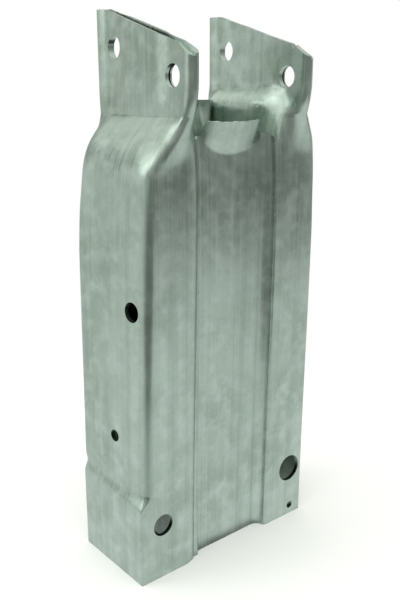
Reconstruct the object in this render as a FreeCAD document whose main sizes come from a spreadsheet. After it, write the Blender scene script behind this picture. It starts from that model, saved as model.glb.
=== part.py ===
import FreeCAD, Part
import math
import os
import Sketcher

# A bracket made from one length of hollow aluminium profile with three chambers.
# The two outer chambers are pressed flat at the top into two lugs with a gap between them,
# and the walls of the middle chamber are cut back there. Millimetres, +Z up, front at -Y,
# origin at the middle of the foot.

os.makedirs("parts", exist_ok=True)
document = FreeCAD.newDocument("Bracket")
Vector = FreeCAD.Vector

# Driving sizes. Places across the width are measured in from the left or right side wall.
sizes = [
    ("bodyWidth", 130.0, "profile across its two side walls"),
    ("bodyDepth", 58.4, "profile from front wall to back wall"),
    ("wall", 2.5, "wall of the profile"),
    ("leftWebPlace", 40.3, "left side to the middle chamber's left wall"),
    ("rightWebPlace", 33.0, "right side to the middle chamber's right wall"),
    ("leftLipRound", 5.0, "rounding where the left strip turns into the groove"),
    ("rightLipRound", 1.2, "rounding where the right strip turns into the groove"),
    ("grooveDepth", 6.2, "groove between the strips, front and back"),
    ("grooveFillet", 5.0, "hollow rounding at the right foot of the groove"),
    ("filletBite", 0.4, "that rounding running into the wall"),
    ("filletBury", 0.75, "its hidden back, deeper in the wall"),
    ("filletStop", 0.8, "its end, as a share of the last step below the root crease"),
    ("footHeight", 49.6, "square foot of the left side wall"),
    ("creaseHeight", 8.0, "pressed band above the foot"),
    ("creaseTilt", 5.1, "rise of that band to the back, degrees"),
    ("footCorner", 0.8, "corner rounding of the foot"),
    ("leftCorner", 4.5, "corner rounding of the left side above the foot"),
    ("rightCorner", 1.5, "corner rounding of the right side"),
    ("frontInset", 3.8, "left side wall set in above the foot, at its front corner"),
    ("backInset", 0.3, "the same at its back corner"),
    ("frontLean", 7.0, "left side wall set in where the shoulder starts, at its front corner"),
    ("backLean", 2.8, "the same at its back corner"),
    ("shoulderStart", 186.0, "height where the outer chambers start to close"),
    ("earRoot", 259.5, "height of the crease at the root of the lugs"),
    ("earSquare", 274.0, "height from which the lugs are straight"),
    ("totalHeight", 314.0, "height over the lugs"),
    ("leftEarPlace", 26.6, "left side to the outer face of the left lug"),
    ("rightEarPlace", 15.2, "right side to the outer face of the right lug"),
    ("earThickness", 7.0, "two walls pressed together with a slit between"),
    ("earReach", 12.3, "lug standing out past the front and back walls"),
    ("earNose", 3.3, "rounding of the folded edges of a lug"),
    ("remnantDepth", 2.5, "old corner on the lug, behind the front wall"),
    ("slitEnd", 4.0, "slit's end behind the front wall"),
    ("leftNoseSeat", 14.5, "place on the left strip where its fold begins"),
    ("rightNoseSeat", 3.5, "place on the right strip where its fold begins"),
    ("noseSeatWidth", 4.5, "width of that place"),
    ("seatRound", 1.5, "rounding where a fold begins"),
    ("remnantRound", 2.0, "rounding left at the old corners"),
    ("topFrontDrop", 18.2, "highest edge down to the back end of the front bevel"),
    ("topFrontBack", 2.4, "that point in front of the front wall"),
    ("topSlopeBack", 2.2, "slope's upper end behind the back wall"),
    ("bevelDrop", 6.2, "front bevel of the lug, height"),
    ("layerDrop", 1.3, "outer layer of a lug ending lower than the inner one"),
    ("layerDropBack", 0.4, "the same at the upper end of the slope"),
    ("notchFront", 249.3, "cut-back wall of the middle chamber at the front"),
    ("notchBack", 267.0, "cut-back wall of the middle chamber at the back"),
    ("scoopWidth", 43.0, "flared tongue on the front wall"),
    ("scoopPlace", 4.5, "middle of the tongue, right of the profile's middle"),
    ("scoopFoot", 239.0, "height where the tongue leaves the wall"),
    ("scoopTop", 256.0, "height of the torn edge of the tongue"),
    ("scoopOverlap", 1.0, "foot of the tongue overlapping the wall below"),
    ("scoopFlare", 8.5, "tongue standing forward at its top"),
    ("scoopStart", 0.4, "tongue standing forward at its foot"),
    ("scoopMiddle", 2.6, "tongue standing forward half way up"),
    ("earHole", 11.8, "bolt holes through both lugs"),
    ("frontEarHolePlace", 3.7, "front lug hole behind the front wall"),
    ("frontEarHoleDrop", 34.6, "highest edge down to the front lug hole"),
    ("backEarHolePlace", 3.7, "back lug hole before the back wall"),
    ("backEarHoleDrop", 19.8, "highest edge down to the back lug hole"),
    ("leftFootHole", 13.2, "hole low in the left front strip"),
    ("leftFootHolePlace", 15.4, "left side to that hole"),
    ("rightFootHole", 17.5, "hole low in the right front strip"),
    ("rightFootHolePlace", 12.0, "right side to that hole"),
    ("footHoleHeight", 34.0, "height of the two foot holes"),
    ("pinHole", 4.8, "small hole near the lower right corner"),
    ("pinHolePlace", 10.0, "right side to the small hole"),
    ("pinHoleHeight", 6.5, "height of the small hole"),
    ("sideHole", 11.2, "large hole in the left side wall"),
    ("sideHolePlace", 12.5, "front wall to that hole"),
    ("sideHoleHeight", 159.3, "height of that hole"),
    ("smallSideHole", 7.0, "small hole in the left side wall"),
    ("smallSideHolePlace", 28.2, "front wall to that hole"),
    ("smallSideHoleHeight", 83.0, "height of that hole"),
    ("reachPast", 10.0, "how far a cutting shape runs past the metal"),
]

sheet = document.addObject("Spreadsheet::Sheet", "Sizes")
for row, (alias, number, meaning) in enumerate(sizes, start=1):
    sheet.set(f"A{row}", meaning)
    sheet.set(f"B{row}", str(number))
    sheet.setAlias(f"B{row}", alias)
document.recompute()
size = {alias: float(sheet.get(alias)) for alias, number, meaning in sizes}

# How far each outer chamber has closed at evenly spaced heights of the shoulder:
# 0 is the open profile and 1 the finished lug. Places are the heights, as shares of the way up,
# at which its skin has a station: they lie closest where it bends most. The webs bend later at
# the back, where the higher middle wall holds them.
shoulder = {
    "places": [0.0, 0.36, 0.6, 0.71, 0.79, 0.88, 1.0],
    "left": {
        "frontSide": [0.0, 0.015, 0.035, 0.065, 0.13, 0.53, 1.0],
        "backSide": [0.0, 0.03, 0.065, 0.11, 0.18, 0.46, 1.0],
        "nose": [0.0, 0.02, 0.04, 0.07, 0.13, 0.62, 1.0],
    },
    "right": {
        "frontSide": [0.0, 0.0, 0.0, 0.0, 0.02, 0.27, 1.0],
        "backSide": [0.0, 0.0, 0.0, 0.0, 0.02, 0.27, 1.0],
        "nose": [0.0, 0.0, 0.0, 0.01, 0.05, 0.33, 0.9],
    },
    "frontReach": [0.0, 0.0, 0.01, 0.03, 0.07, 0.34, 0.66],
    "backReach": [0.0, 0.0, 0.01, 0.03, 0.1, 0.45, 0.93],
    "frontWeb": [0.0, 0.0, 0.0, 0.01, 0.03, 0.16, 0.57],
    "backWeb": [0.0, 0.0, 0.0, 0.0, 0.01, 0.03, 0.13],
    "seal": [0.0, 0.0, 0.0, 0.01, 0.02, 0.12, 0.45],
}
# The same from the root crease of the lugs up to where they are straight.
root = {
    "places": [0.0, 0.5, 1.0],
    "left": {"frontSide": [1.0, 1.0, 1.0], "backSide": [1.0, 1.0, 1.0], "nose": [1.0, 1.0, 1.0]},
    "right": {"frontSide": [1.0, 1.0, 1.0], "backSide": [1.0, 1.0, 1.0], "nose": [0.9, 0.98, 1.0]},
    "frontReach": [0.66, 0.89, 1.0],
    "backReach": [0.93, 0.99, 1.0],
    "frontWeb": [0.57, 0.85, 1.0],
    "backWeb": [0.13, 0.36, 1.0],
    "seal": [0.45, 0.8, 1.0],
}


def length(**shares):
    """A length as a number and as a formula of the sheet's cells."""
    number = sum(share * size[alias] for alias, share in shares.items())
    formula = " + ".join(f"{share} * Sizes.{alias}" for alias, share in shares.items())
    return number, formula


def blend(start, end, share):
    return start + (end - start) * share


def shareAt(shares, place):
    """Reads a smooth curve through evenly spaced shares at any place from 0 to 1, and never under 0."""
    places = [step / (len(shares) - 1) for step in range(len(shares))]
    curve = Part.BSplineCurve()
    curve.interpolate(Points=[Vector(share, up, 0) for share, up in zip(shares, places)], Parameters=places)
    return max(curve.value(place).x, 0.0)


def plane(body, role):
    return [item for item in body.Origin.OriginFeatures if item.Role == role][0]


def placeSketch(body, name, role, level=None, tilt=None):
    """A sketch on one of its body's origin planes, lifted and tilted from the sheet."""
    sketch = body.newObject("Sketcher::SketchObject", name)
    sketch.AttachmentSupport = [(plane(body, role), "")]
    sketch.MapMode = "FlatFace"
    if tilt:
        sketch.AttachmentOffset = FreeCAD.Placement(Vector(), FreeCAD.Rotation(Vector(1, 0, 0), tilt[0]))
        sketch.setExpression("AttachmentOffset.Rotation.Angle", tilt[1])
    if level:
        sketch.setExpression("AttachmentOffset.Base.z", level[1])
    return sketch


def bindPoint(sketch, index, vertex, across, up):
    """Ties one end of a line to two lengths from the sketch's origin."""
    for kind, given in (("DistanceX", across), ("DistanceY", up)):
        number = sketch.addConstraint(Sketcher.Constraint(kind, -1, 1, index, vertex, given[0]))
        sketch.setExpression(f"Constraints[{number}]", given[1])


def drawPolygon(sketch, corners):
    """A closed outline of straight lines, each corner bound to the sheet."""
    count = len(corners)
    start = sketch.GeometryCount
    points = [Vector(across[0], up[0], 0) for across, up in corners]
    for place in range(count):
        sketch.addGeometry(Part.LineSegment(points[place], points[(place + 1) % count]))
    for place in range(count):
        following = start + (place + 1) % count
        sketch.addConstraint(Sketcher.Constraint("Coincident", start + place, 2, following, 1))
    for place, (across, up) in enumerate(corners):
        bindPoint(sketch, start + place, 1, across, up)


def drawRounded(sketch, left, right, front, back, leftRound, rightRound):
    """A rectangle with one radius at its two left corners and one at its two right ones."""
    x0, x1, y0, y1 = left[0], right[0], front[0], back[0]
    r0, r1 = leftRound[0], rightRound[0]
    lines = [
        ((x0 + r0, y0), (x1 - r1, y0)),
        ((x1, y0 + r1), (x1, y1 - r1)),
        ((x1 - r1, y1), (x0 + r0, y1)),
        ((x0, y1 - r0), (x0, y0 + r0)),
    ]
    quarter = math.pi / 2
    centres = [
        (x1 - r1, y0 + r1, r1),
        (x1 - r1, y1 - r1, r1),
        (x0 + r0, y1 - r0, r0),
        (x0 + r0, y0 + r0, r0),
    ]
    for first, second in lines:
        sketch.addGeometry(Part.LineSegment(Vector(*first, 0), Vector(*second, 0)))
    for turn, (x, y, radius) in enumerate(centres):
        circle = Part.Circle(Vector(x, y, 0), Vector(0, 0, 1), radius)
        sketch.addGeometry(Part.ArcOfCircle(circle, (turn - 1) * quarter, turn * quarter))
    for side in range(4):
        sketch.addConstraint(Sketcher.Constraint("Tangent", side, 2, 4 + side, 1))
        sketch.addConstraint(Sketcher.Constraint("Tangent", 4 + side, 2, (side + 1) % 4, 1))
    for side, kind in enumerate(("Horizontal", "Vertical", "Horizontal", "Vertical")):
        sketch.addConstraint(Sketcher.Constraint(kind, side))
    for line, given in enumerate((front, right, back, left)):
        kind = "DistanceX" if line % 2 else "DistanceY"
        number = sketch.addConstraint(Sketcher.Constraint(kind, -1, 1, line, 1, given[0]))
        sketch.setExpression(f"Constraints[{number}]", given[1])
    for arc, given in ((4, rightRound), (5, rightRound), (6, leftRound), (7, leftRound)):
        number = sketch.addConstraint(Sketcher.Constraint("Radius", arc, given[0]))
        sketch.setExpression(f"Constraints[{number}]", given[1])


def addLoft(body, kind, name, sketches):
    loft = body.newObject(f"PartDesign::{kind}", name)
    loft.Profile = sketches[0]
    loft.Sections = sketches[1:]
    loft.Ruled = True
    for sketch in sketches:
        sketch.Visibility = False
    return loft


def addPad(body, name, sketch, height):
    pad = body.newObject("PartDesign::Pad", name)
    pad.Profile = sketch
    pad.Length = height[0]
    pad.setExpression("Length", height[1])
    return pad


def addSlotCut(body, name, sketch, span):
    """A pocket that runs the same way to both sides of its sketch."""
    pocket = body.newObject("PartDesign::Pocket", name)
    pocket.Profile = sketch
    pocket.Midplane = True
    pocket.Length = span[0]
    pocket.setExpression("Length", span[1])
    return pocket


front = length(bodyDepth=-0.5)
back = length(bodyDepth=0.5)
leftWeb = length(bodyWidth=-0.5, leftWebPlace=1)
rightWeb = length(bodyWidth=0.5, rightWebPlace=-1)
upright = length(shoulderStart=1)


# The straight profile up to the shoulder, with the middle chamber's two walls.
def leftLevels():
    """Heights of the left chamber: their tilt, the set-in of the front and back corners, the rounding."""
    tilt = length(creaseTilt=1)
    return [
        ("Floor", length(), None, {}, {}, "footCorner"),
        ("FootTop", length(footHeight=1), tilt, {}, {}, "footCorner"),
        ("BandTop", length(footHeight=1, creaseHeight=1), tilt, {"frontInset": 1}, {"backInset": 1},
         "leftCorner"),
        ("ShoulderFoot", upright, None, {"frontLean": 1}, {"backLean": 1}, "leftCorner"),
    ]


def buildColumn():
    """The right chamber and the two middle walls, up to where they are cut back."""
    body = document.addObject("PartDesign::Body", "Column")
    right = placeSketch(body, "RightOutline", "XY_Plane")
    drawRounded(right, rightWeb, length(bodyWidth=0.5), front, back,
                length(rightLipRound=1), length(rightCorner=1))
    addPad(body, "RightChamber", right, upright)

    # The middle walls reach into both outer chambers, whose spaces cut off what is too long.
    wallLeft = length(bodyWidth=-0.5, leftEarPlace=1, earThickness=1)
    wallRight = length(bodyWidth=0.5, rightEarPlace=-1, earThickness=-1)
    notchTop = length(notchBack=1, reachPast=1)
    panels = placeSketch(body, "MiddleWallOutline", "XY_Plane")
    for near in (-1, 1):
        outside = length(bodyDepth=0.5 * near, grooveDepth=-near)
        inside = length(bodyDepth=0.5 * near, grooveDepth=-near, wall=-near)
        corners = [(wallLeft, outside), (wallRight, outside), (wallRight, inside), (wallLeft, inside)]
        drawPolygon(panels, corners)
    addPad(body, "MiddleWalls", panels, notchTop)
    document.recompute()

    # The hollow corners are straight to the shoulder and then follow the right web.
    for near, title in ((-1, "Front"), (1, "Back")):
        straight = placeSketch(body, f"{title}FilletOutline", "XY_Plane")
        drawGrooveFillet(straight, near, 0.0)
        addPad(body, f"{title}GrooveFillet", straight, upright)
        outlines = []
        for step, (level, share) in enumerate(webLevels(f"{title.lower()}Web")):
            sketch = placeSketch(body, f"{title}FilletOutline{step}", "XY_Plane", level)
            drawGrooveFillet(sketch, near, share)
            outlines.append(sketch)
        document.recompute()
        addLoft(body, "AdditiveLoft", f"{title}FilletEnd", outlines)

    # The middle walls are cut back to a sloping line between the lugs.
    notch = placeSketch(body, "NotchOutline", "YZ_Plane")
    high = length(notchBack=1, reachPast=2)
    frontFloor, backFloor = length(bodyDepth=-0.5, grooveDepth=1), length(bodyDepth=0.5, grooveDepth=-1)
    low, raised = length(notchFront=1), length(notchBack=1)
    drawPolygon(notch, [(front, low), (frontFloor, low), (backFloor, raised), (back, raised), (back, high),
                        (front, high)])
    addSlotCut(body, "Notch", notch, length(bodyWidth=1))
    addTongue(body)
    document.recompute()
    return body


def webLevels(web):
    """Heights of the shoulder's stations, with how far the front or back of the webs has moved there.

    The last one lies a little short of the crease, where the hollow corner runs out.
    """
    steps = [(place, shareAt(shoulder[web], place)) for place in shoulder["places"]]
    before, last = steps[-2:]
    steps[-1] = tuple(blend(before[k], last[k], size["filletStop"]) for k in (0, 1))
    return [(length(shoulderStart=1 - place, earRoot=place), share) for place, share in steps]


def drawGrooveFillet(sketch, near, share):
    """The hollow corner between the groove's floor and its right wall, on the front or back."""
    radius = size["grooveFillet"]
    web = {"bodyWidth": 0.5, "rightWebPlace": share - 1, "rightEarPlace": -share, "earThickness": -share,
           "filletBite": 1}
    wallFace = length(**web)
    buried = length(**web, filletBury=1)
    wallX = wallFace[0]
    floorY = near * (size["bodyDepth"] / 2 - size["grooveDepth"])
    start = sketch.GeometryCount
    floorEnd = Vector(wallX - radius, floorY, 0)
    wallEnd = Vector(wallX, floorY + near * radius, 0)
    corners = [floorEnd, Vector(buried[0], floorY, 0), Vector(buried[0], wallEnd.y, 0), wallEnd]
    centre = Vector(wallX - radius, floorY + near * radius, 0)
    for first, second in zip(corners, corners[1:]):
        sketch.addGeometry(Part.LineSegment(first, second))
    circle = Part.Circle(centre, Vector(0, 0, 1), radius)
    if near < 0:
        arc = Part.ArcOfCircle(circle, 0, math.pi / 2)
        joints = ((start + 3, 1, start + 2, 2), (start + 3, 2, start, 1))
    else:
        arc = Part.ArcOfCircle(circle, -math.pi / 2, 0)
        joints = ((start + 3, 1, start, 1), (start + 3, 2, start + 2, 2))
    sketch.addGeometry(arc)
    for joint in ((start, 2, start + 1, 1), (start + 1, 2, start + 2, 1)) + joints:
        sketch.addConstraint(Sketcher.Constraint("Coincident", *joint))
    floor = length(bodyDepth=0.5 * near, grooveDepth=-near)
    high = length(bodyDepth=0.5 * near, grooveDepth=-near, grooveFillet=near)
    bindPoint(sketch, start, 1, length(**web, grooveFillet=-1), floor)
    bindPoint(sketch, start + 1, 1, buried, floor)
    bindPoint(sketch, start + 2, 1, buried, high)
    bindPoint(sketch, start + 2, 2, wallFace, high)
    number = sketch.addConstraint(Sketcher.Constraint("Radius", start + 3, radius))
    sketch.setExpression(f"Constraints[{number}]", "Sizes.grooveFillet")


def addTongue(body):
    """The middle of the front wall, torn free at its top and flared forward."""
    clear = placeSketch(body, "TongueClearOutline", "XZ_Plane")
    left, right = length(scoopPlace=1, scoopWidth=-0.5), length(scoopPlace=1, scoopWidth=0.5)
    low, high = length(scoopFoot=1, scoopOverlap=1), length(notchBack=1, reachPast=2)
    drawPolygon(clear, [(left, low), (right, low), (right, high), (left, high)])
    cut = body.newObject("PartDesign::Pocket", "TongueClear")
    cut.Profile = clear
    cut.Reversed = True
    cut.Length = size["bodyDepth"] / 2
    cut.setExpression("Length", "Sizes.bodyDepth / 2")
    document.recompute()
    sections = []
    levels = (
        ("Foot", length(scoopFoot=1), "scoopStart"),
        ("Middle", length(scoopFoot=0.5, scoopTop=0.5), "scoopMiddle"),
        ("Top", length(scoopTop=1), "scoopFlare"),
    )
    for name, level, bulge in levels:
        sketch = placeSketch(body, f"Tongue{name}", "XY_Plane", level)
        drawBow(sketch, left, right, bulge)
        sections.append(sketch)
    addLoft(body, "AdditiveLoft", "Tongue", sections)


def drawBow(sketch, left, right, bulge):
    """A strip of wall bowed forward between two fixed ends."""
    outer = length(bodyDepth=-0.5, grooveDepth=1)
    inner = length(bodyDepth=-0.5, grooveDepth=1, wall=1)
    rise = size[bulge]
    ends = [(left, outer), (right, outer), (right, inner), (left, inner)]
    points = [Vector(across[0], up[0], 0) for across, up in ends]
    for first, second in ((0, 1), (3, 2)):
        middle = (points[first] + points[second]) * 0.5 - Vector(0, rise, 0)
        sketch.addGeometry(Part.Arc(points[first], middle, points[second]))
    sketch.addGeometry(Part.LineSegment(points[1], points[2]))
    sketch.addGeometry(Part.LineSegment(points[0], points[3]))
    for line, (first, second) in ((2, (1, 2)), (3, (0, 3))):
        bindPoint(sketch, line, 1, *ends[first])
        bindPoint(sketch, line, 2, *ends[second])
    half = size["scoopWidth"] / 2
    radius = (half ** 2 + rise ** 2) / (2 * rise)
    formula = f"((Sizes.scoopWidth / 2) ^ 2 + Sizes.{bulge} ^ 2) / (2 * Sizes.{bulge})"
    for arc, joints in ((0, ((3, 1), (2, 1))), (1, ((3, 2), (2, 2)))):
        for vertex, (line, end) in enumerate(joints, start=1):
            sketch.addConstraint(Sketcher.Constraint("Coincident", arc, vertex, line, end))
        number = sketch.addConstraint(Sketcher.Constraint("Radius", arc, radius))
        sketch.setExpression(f"Constraints[{number}]", formula)


# The closing shoulders, whose skins run through stations.
# A round corner is a quarter circle where the sides are square, from the weight of its middle point.
quarterWeight = math.sqrt(0.5)


def stationCorners(side, half, shares, height, hollow):
    """Corners of the front or back half of a chamber: place in from its side, place in from its face.

    The third number is the rounding. With hollow set, the corners are those of the space inside.
    """
    outside, nose = (shareAt(shares[side][part], height) for part in (f"{half}Side", "nose"))
    reach, web, seal = (shareAt(shares[part], height) for part in (f"{half}Reach", f"{half}Web", "seal"))
    lean = size[f"{half}Lean"] if side == "left" else 0.0
    wall = size["wall"]
    place = size[f"{side}EarPlace"]
    depth = size["remnantDepth"]
    thick = size["earThickness"]
    seat = size[f"{side}NoseSeat"]
    webPlace = size[f"{side}WebPlace"]
    forward = blend(0, -size["earReach"], reach)
    foldRound = blend(size["seatRound"], size["earNose"], nose)
    outer = [
        [blend(lean, place, outside), blend(0, depth, outside),
         blend(size[f"{side}Corner"], size["remnantRound"], outside)],
        [blend(seat, place, nose), forward, foldRound],
        [blend(seat + size["noseSeatWidth"], place + thick, nose), forward, foldRound],
        [blend(webPlace, place + thick, web), blend(0, depth, web),
         blend(size[f"{side}LipRound"], size["remnantRound"], web)],
    ]
    if not hollow:
        return outer
    sealed = size["earReach"] + size["slitEnd"]
    noseIn = blend(0, wall, nose)
    end = size["slitEnd"]
    return [
        [outer[0][0] + wall, blend(wall, end + wall, seal)],
        [outer[1][0] + noseIn, outer[1][1] + blend(wall, sealed, seal)],
        [outer[2][0] - noseIn, outer[2][1] + blend(wall, sealed, seal)],
        [outer[3][0] - wall, blend(wall, end + wall, seal)],
    ]


def stationOutline(side, frontCorners, backCorners, height, slope=0.0):
    """The whole outline at one height, rising to the back by the slope, with each corner's rounding."""
    way = 1 if side == "left" else -1
    edge = -way * size["bodyWidth"] / 2
    halfDepth = size["bodyDepth"] / 2
    outline = []
    for corners, near in ((frontCorners, -1), (reversed(backCorners), 1)):
        for across, behind, *rounding in corners:
            y = near * (halfDepth - behind)
            point = Vector(edge + way * across, y, height + slope * y)
            outline.append((point, rounding[0] if rounding else None))
    return outline


def cornerPoints(outline):
    """For each corner: where its rounding starts, its sharp point and where it ends."""
    count = len(outline)
    found = []
    for place in range(count):
        here, rounding = outline[place]
        before, after = outline[place - 1][0], outline[(place + 1) % count][0]
        if rounding is None:
            found.append([here])
        else:
            found.append([
                here + (before - here).normalize() * rounding,
                here,
                here + (after - here).normalize() * rounding,
            ])
    return found


def strip(low, high):
    """The face between two stations along one side, or round one corner where three points are given."""
    bend = len(low) - 1
    poles = [[a, b] for a, b in zip(low, high)]
    weights = [[1.0] * 2] + [[quarterWeight] * 2] * (bend - 1) + [[1.0] * 2]
    ends, multiplicities = [0, 1], [2, 2]
    surface = Part.BSplineSurface()
    surface.buildFromPolesMultsKnots(poles, [bend + 1] * 2, multiplicities, ends, ends,
                                     False, False, bend, 1, weights)
    return surface.toShape()


def skinSolid(outlines):
    """A closed solid whose skin runs straight from each outline to the one above it."""
    stations = [cornerPoints(outline) for outline in outlines]
    count = len(stations[0])
    faces = []
    for low, high in zip(stations, stations[1:]):
        for place in range(count):
            after = (place + 1) % count
            if len(low[place]) == 3:
                faces.append(strip(low[place], high[place]))
            faces.append(strip([low[place][-1], low[after][0]], [high[place][-1], high[after][0]]))
    for station in (stations[0], stations[-1]):
        edges = []
        for place in range(count):
            own, following = station[place], station[(place + 1) % count][0]
            if len(own) == 3:
                arc = Part.BezierCurve()
                arc.setPoles(own)
                arc.setWeight(2, quarterWeight)
                edges.append(arc.toShape())
            edges.append(Part.LineSegment(own[-1], following).toShape())
        faces.append(Part.Face(Part.Wire(edges)))
    shell = Part.makeShell(faces)
    shell.sewShape()
    solid = Part.Solid(Part.Shell(shell.Faces))
    if solid.Volume < 0:
        solid.reverse()
    return solid


def addSkin(name, side, shares, low, high, hollow):
    outlines = []
    for place in shares["places"]:
        halves = [stationCorners(side, half, shares, place, hollow) for half in ("front", "back")]
        outlines.append(stationOutline(side, *halves, blend(low, high, place)))
    feature = document.addObject("Part::Feature", name)
    feature.Shape = skinSolid(outlines)
    return feature


def buildLeftColumn():
    """The left chamber up to the shoulder, its side wall set in above the foot."""
    outlines = []
    for name, level, tilt, frontInset, backInset, corner in leftLevels():
        lip = [size["leftWebPlace"], 0.0, size["leftLipRound"]]
        halves = [[[length(**inset)[0], 0.0, size[corner]], lip] for inset in (frontInset, backInset)]
        slope = math.tan(math.radians(tilt[0])) if tilt else 0.0
        outlines.append(stationOutline("left", *halves, level[0], slope))
    feature = document.addObject("Part::Feature", "LeftColumn")
    feature.Shape = skinSolid(outlines)
    return feature


def buildShoulders(side):
    """Skins of one chamber from the shoulder to the straight part of the lug: metal, then space."""
    title = side.capitalize()
    start, crease, square = size["shoulderStart"], size["earRoot"], size["earSquare"]
    metal = [
        addSkin(f"{title}Shoulder", side, shoulder, start, crease, False),
        addSkin(f"{title}LugRoot", side, root, crease, square, False),
    ]
    space = [
        addSkin(f"{title}ShoulderSpace", side, shoulder, start, crease, True),
        addSkin(f"{title}LugRootSpace", side, root, crease, square, True),
    ]
    return metal, space


def lugEnds(side, extra):
    """Left and right faces of a lug, moved in by whole walls."""
    place = {"bodyWidth": -0.5, f"{side}EarPlace": 1}
    if side == "left":
        return length(**place, wall=extra), length(**place, earThickness=1, wall=-extra)
    place = {"bodyWidth": 0.5, f"{side}EarPlace": -1}
    return length(**place, earThickness=-1, wall=extra), length(**place, wall=-extra)


def buildLug(side):
    """The straight part of a lug, still with its square top."""
    body = document.addObject("PartDesign::Body", f"{side.capitalize()}Lug")
    square = length(earSquare=1)
    outline = placeSketch(body, f"{side}LugOutline", "XY_Plane", square)
    left, right = lugEnds(side, 0)
    nose = length(earNose=1)
    drawRounded(outline, left, right, length(bodyDepth=-0.5, earReach=-1),
                length(bodyDepth=0.5, earReach=1), nose, nose)
    addPad(body, f"{side}LugPad", outline, length(totalHeight=1, earSquare=-1))
    slit = placeSketch(body, f"{side}SlitOutline", "XY_Plane", square)
    left, right = lugEnds(side, 1)
    slitFront, slitBack = length(bodyDepth=-0.5, slitEnd=1), length(bodyDepth=0.5, slitEnd=-1)
    drawPolygon(slit, [(left, slitFront), (right, slitFront), (right, slitBack), (left, slitBack)])
    pocket = body.newObject("PartDesign::Pocket", f"{side}Slit")
    pocket.Profile = slit
    pocket.Reversed = True
    pocket.Length = size["totalHeight"] - size["earSquare"] + size["reachPast"]
    pocket.setExpression("Length", "Sizes.totalHeight - Sizes.earSquare + Sizes.reachPast")
    document.recompute()
    return body


# What is cut away: the spaces inside the outer chambers, the lugs' slanted tops and the holes.
def buildChamberSpaces():
    """The straight spaces inside the two outer chambers."""
    body = document.addObject("PartDesign::Body", "LeftSpace")
    outlines = []
    for name, level, tilt, frontInset, backInset, corner in leftLevels():
        level = level if level[0] else length(reachPast=-1)
        sketch = placeSketch(body, f"LeftSpace{name}", "XY_Plane", level, tilt)
        leftFront = length(bodyWidth=-0.5, wall=1, **frontInset)
        leftBack = length(bodyWidth=-0.5, wall=1, **backInset)
        right = length(bodyWidth=-0.5, leftWebPlace=1, wall=-1)
        drawPolygon(sketch, spaceCorners(leftFront, right, leftBack))
        outlines.append(sketch)
    document.recompute()
    addLoft(body, "AdditiveLoft", "LeftSpaceLoft", outlines)
    other = document.addObject("PartDesign::Body", "RightSpace")
    sketch = placeSketch(other, "RightSpaceOutline", "XY_Plane", length(reachPast=-1))
    left, right = length(bodyWidth=0.5, rightWebPlace=-1, wall=1), length(bodyWidth=0.5, wall=-1)
    drawPolygon(sketch, spaceCorners(left, right, left))
    addPad(other, "RightSpacePad", sketch, length(shoulderStart=1, reachPast=1))
    document.recompute()
    return [body, other]


def spaceCorners(left, right, leftBack):
    """Corners of the space in a chamber, between the insides of the front and back walls."""
    near, far = length(bodyDepth=-0.5, wall=1), length(bodyDepth=0.5, wall=-1)
    return [(left, near), (right, near), (right, far), (leftBack, far)]


def buildTopCuts():
    """What is cut from the lugs' tops: the slope with its front bevel, and the lower outer layers."""
    cuts = []
    topFront = length(bodyDepth=-0.5, topFrontBack=-1)
    topBack = length(bodyDepth=0.5, topSlopeBack=1)
    noseFront = length(bodyDepth=-0.5, earReach=-1)
    low, lowBack = {"layerDrop": -1}, {"layerDropBack": -1}
    spans = (
        ("WholeTop", length(bodyWidth=-0.5), length(bodyWidth=1), {}, {}),
        ("LeftLayerTop", length(bodyWidth=-0.5), length(leftEarPlace=1, earThickness=0.5), low, lowBack),
        ("RightLayerTop", length(bodyWidth=0.5, rightEarPlace=-1, earThickness=-0.5),
         length(rightEarPlace=1, earThickness=0.5), low, lowBack),
    )
    for name, start, span, drop, dropBack in spans:
        body = document.addObject("PartDesign::Body", name)
        outline = placeSketch(body, f"{name}Outline", "YZ_Plane", start)
        high = length(totalHeight=1, reachPast=1)
        corners = [
            (noseFront, length(totalHeight=1, topFrontDrop=-1, bevelDrop=-1, **drop)),
            (topFront, length(totalHeight=1, topFrontDrop=-1, **drop)),
            (topBack, length(totalHeight=1, **dropBack)),
            (topBack, high),
            (noseFront, high),
        ]
        drawPolygon(outline, corners)
        addPad(body, f"{name}Pad", outline, span)
        cuts.append(body)
    document.recompute()
    return cuts


def addHole(name, diameter, places, axis, depth):
    """A round hole as a cylinder whose axis starts at a place and runs along X or Y."""
    hole = document.addObject("Part::Cylinder", name)
    turn = FreeCAD.Rotation(Vector(0, 1, 0), 90) if axis == "x" else FreeCAD.Rotation(Vector(1, 0, 0), -90)
    hole.Placement = FreeCAD.Placement(Vector(), turn)
    hole.setExpression("Radius", f"Sizes.{diameter} / 2")
    hole.setExpression("Height", depth[1])
    for letter, given in zip("xyz", places):
        hole.setExpression(f"Placement.Base.{letter}", given[1])
    return hole


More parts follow.
